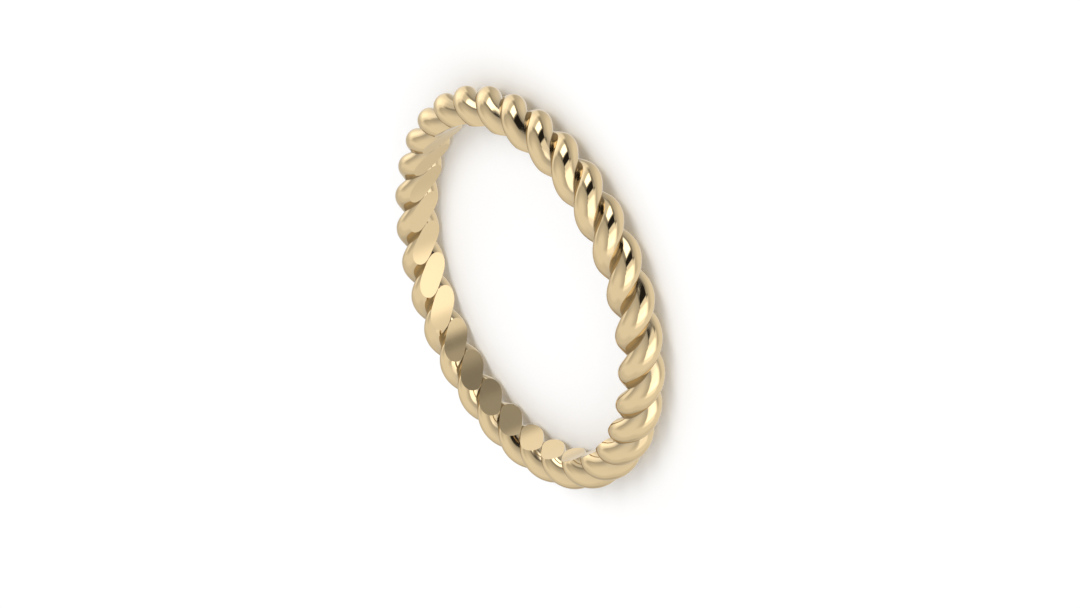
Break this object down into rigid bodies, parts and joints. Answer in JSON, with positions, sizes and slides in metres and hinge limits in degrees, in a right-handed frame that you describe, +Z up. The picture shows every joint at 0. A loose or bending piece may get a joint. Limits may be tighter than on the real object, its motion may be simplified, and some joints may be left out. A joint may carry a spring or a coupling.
{
  "type": "rope twist ring",
  "caption": "Gold finger ring shaped as a twisted rope closed into a hoop, bored straight through so that each turn has a smooth flat inside.",
  "frame": {"origin": "on the axis of the finger hole, on the surface that the ring lies on", "axes": "+Z up along the axis of the finger hole, +X out through the crest of one turn of a strand"},
  "size_m": [0.0208, 0.0206, 0.0022],
  "materials": {
    "gold": "polished"
  },
  "bodies": {
    "root": {"rope_band": "gold"}
  },
  "joints": []
}
